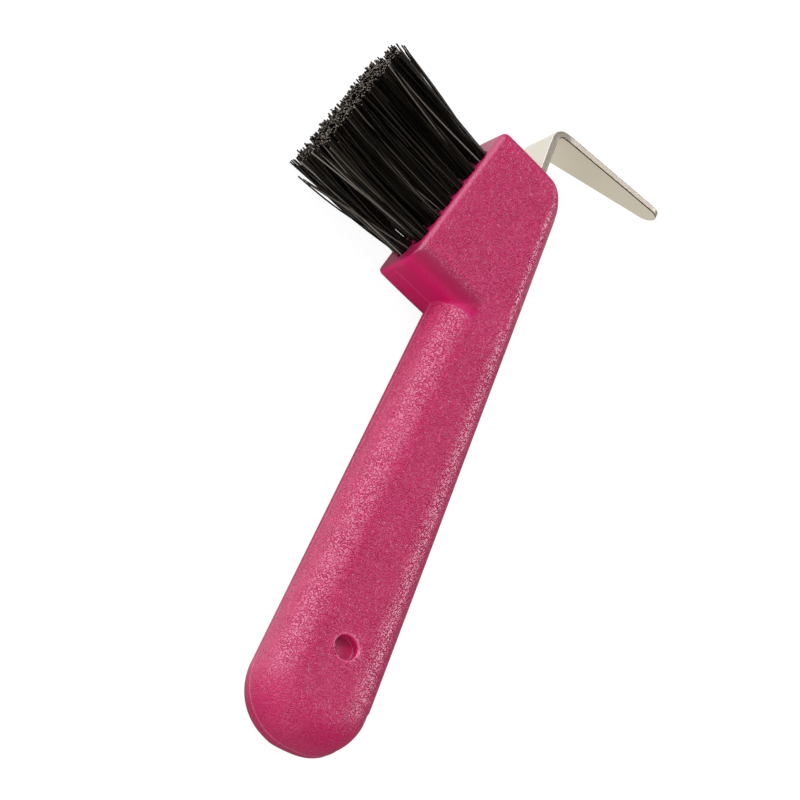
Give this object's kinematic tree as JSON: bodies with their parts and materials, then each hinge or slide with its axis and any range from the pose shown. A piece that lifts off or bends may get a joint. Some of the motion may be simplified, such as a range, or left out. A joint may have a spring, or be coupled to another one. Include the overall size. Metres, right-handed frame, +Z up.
{
  "type": "hoof pick with brush",
  "caption": "Hoof pick with a bent flat steel blade and a stiff bristle brush set in the head of a tapering moulded plastic handle.",
  "frame": {"origin": "mouth centre of the lanyard recess in the lower side face, on the plane that the tool rests on", "axes": "+X along the handle towards the head, +Y out of the handle on the brush side, +Z up, out of the upper side face"},
  "size_m": [0.1717, 0.089, 0.0195],
  "materials": {
    "handle_plastic": "finely grained moulded plastic, soft sheen",
    "pick_steel": "satin nickel-plated steel strip",
    "anchor_steel": "flat anchor wire, plain",
    "bristle_nylon": "crimped black nylon filament"
  },
  "bodies": {
    "root": {"handle_body": "handle_plastic", "pick_blade": "pick_steel", "anchor_wires": "anchor_steel", "tuft_upper_1": "bristle_nylon", "tuft_upper_2": "bristle_nylon", "tuft_upper_3": "bristle_nylon", "tuft_upper_4": "bristle_nylon", "tuft_upper_5": "bristle_nylon", "tuft_upper_6": "bristle_nylon", "tuft_middle_1": "bristle_nylon", "tuft_middle_2": "bristle_nylon", "tuft_middle_3": "bristle_nylon", "tuft_middle_4": "bristle_nylon", "tuft_middle_5": "bristle_nylon", "tuft_middle_6": "bristle_nylon", "tuft_middle_7": "bristle_nylon", "tuft_lower_1": "bristle_nylon", "tuft_lower_2": "bristle_nylon", "tuft_lower_3": "bristle_nylon", "tuft_lower_4": "bristle_nylon", "tuft_lower_5": "bristle_nylon", "tuft_lower_6": "bristle_nylon"}
  },
  "joints": []
}
